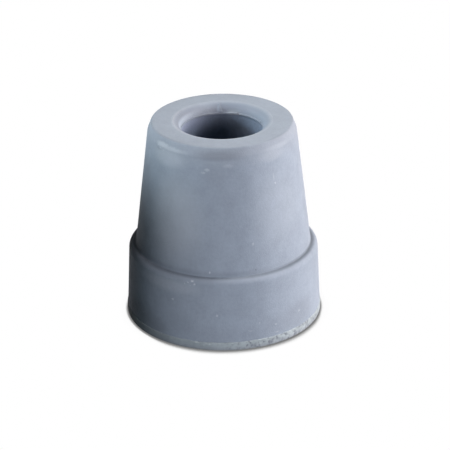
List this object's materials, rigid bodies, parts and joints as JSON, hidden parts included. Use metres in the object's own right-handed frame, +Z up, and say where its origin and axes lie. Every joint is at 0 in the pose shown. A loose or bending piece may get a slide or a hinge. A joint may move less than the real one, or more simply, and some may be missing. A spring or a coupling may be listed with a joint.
{
  "type": "rubber cane tip",
  "caption": "Tapered rubber tip with a stepped collar and a ringed tread, pushed on to the end of a round cane tube as its foot.",
  "frame": {"origin": "centre of the face that meets the ground", "axes": "+Z up along the axis of the socket, out of its mouth; the tip is round about Z"},
  "size_m": [0.046, 0.046, 0.048],
  "materials": {
    "rubber": "matte, moulded, with a pale bloom"
  },
  "bodies": {
    "root": {"cane_tip": "rubber"}
  },
  "joints": []
}
